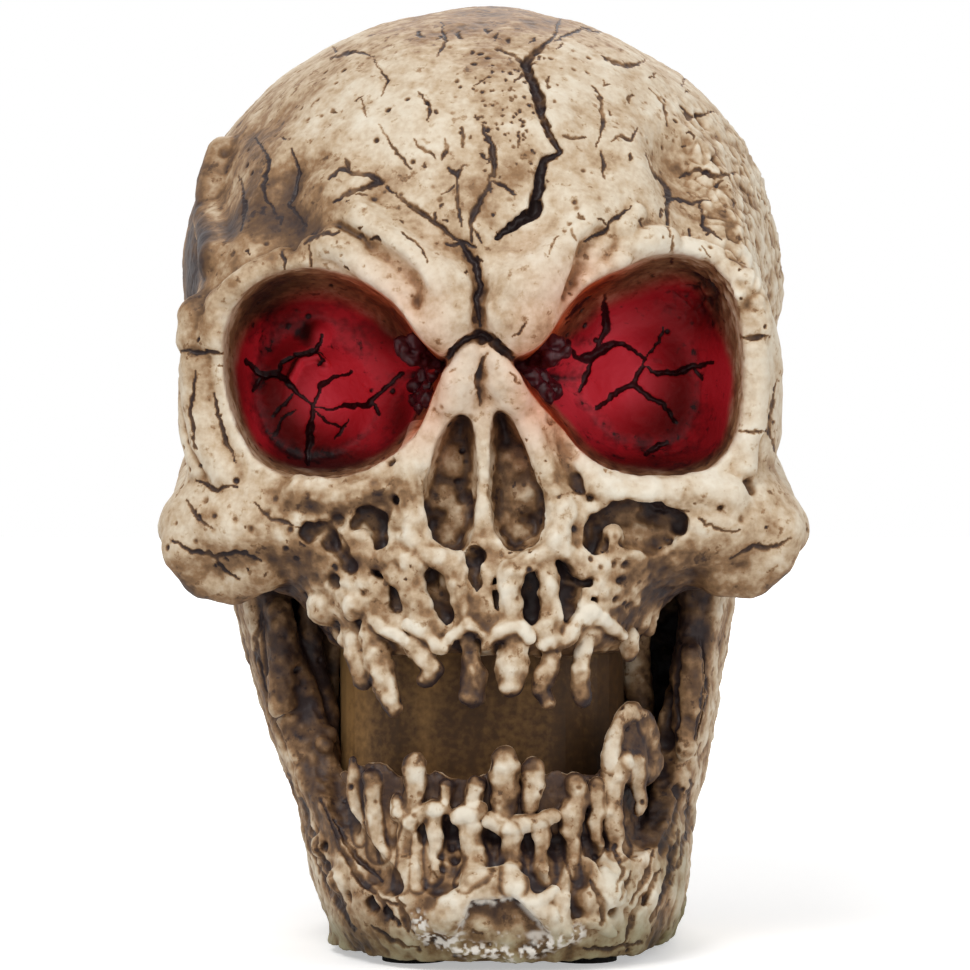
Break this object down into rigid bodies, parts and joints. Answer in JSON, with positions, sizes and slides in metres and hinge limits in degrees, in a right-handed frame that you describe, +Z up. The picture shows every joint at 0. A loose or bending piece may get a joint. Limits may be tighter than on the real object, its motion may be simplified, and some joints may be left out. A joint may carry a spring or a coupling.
{
  "type": "halloween skull decoration",
  "caption": "Cast resin skull with wide open jaws and red lamps in the eye sockets, standing on felt pads over a screwed base cover with a battery door and slide switch.",
  "frame": {"origin": "middle of the bounding box at the standing plane under the felt pads", "axes": "+Z up, the face looks along -Y, +X to the right of a viewer facing it"},
  "size_m": [0.13, 0.1576, 0.197],
  "materials": {
    "bone_resin": "bone paint with a brown antique wash",
    "throat_resin": "smooth brown paint",
    "black_felt": "felt",
    "black_plastic": "moulded, fine grain",
    "screw_steel": "zinc plated",
    "cell_sleeve": "plain sleeve, no print",
    "tinned_wire": "tinned",
    "contact_brass": "plain",
    "white_plastic": "moulded",
    "dark_glue": "hot glue, dark",
    "red_lens": "tinted clear lens, lit",
    "wire_red": "insulated wire",
    "wire_black": "insulated wire"
  },
  "bodies": {
    "skull": {"throat_column": "throat_resin", "cranium": "bone_resin", "jaw": "bone_resin", "felt_pad_1": "black_felt", "felt_pad_2": "black_felt", "felt_pad_3": "black_felt", "felt_pad_4": "black_felt", "base_cover": "black_plastic", "base_screw_1": "screw_steel", "base_screw_2": "screw_steel", "base_screw_3": "screw_steel", "base_screw_4": "screw_steel", "battery_cell_1": "cell_sleeve", "battery_cell_2": "cell_sleeve", "contact_positive": "contact_brass", "contact_negative": "contact_brass", "contact_bridge": "contact_brass", "contact_spring_1": "tinned_wire", "contact_spring_2": "tinned_wire", "switch_housing": "black_plastic", "switch_terminal_1": "contact_brass", "switch_terminal_2": "contact_brass", "switch_screw_1": "screw_steel", "switch_screw_2": "screw_steel", "led_left": "red_lens", "led_left_glue": "dark_glue", "led_left_anode": "tinned_wire", "led_left_cathode": "tinned_wire", "led_right": "red_lens", "led_right_glue": "dark_glue", "led_right_anode": "tinned_wire", "led_right_cathode": "tinned_wire", "wire_switch_feed": "wire_red", "wire_left_red": "wire_red", "wire_left_black": "wire_black", "wire_right_red": "wire_red", "wire_right_black": "wire_black"},
    "door": {"battery_door": "black_plastic"},
    "slider": {"switch_slider": "white_plastic"}
  },
  "joints": [
    {"name": "battery_door_hinge", "type": "hinge", "parent": "skull", "child": "door", "pos_m": [0, -0.02252, 0.0031], "axis": [-1, 0, 0], "range_deg": [0, 80]},
    {"name": "switch_slide", "type": "slide", "parent": "skull", "child": "slider", "axis": [1, 0, 0], "range_m": [-0.003, 0]}
  ]
}
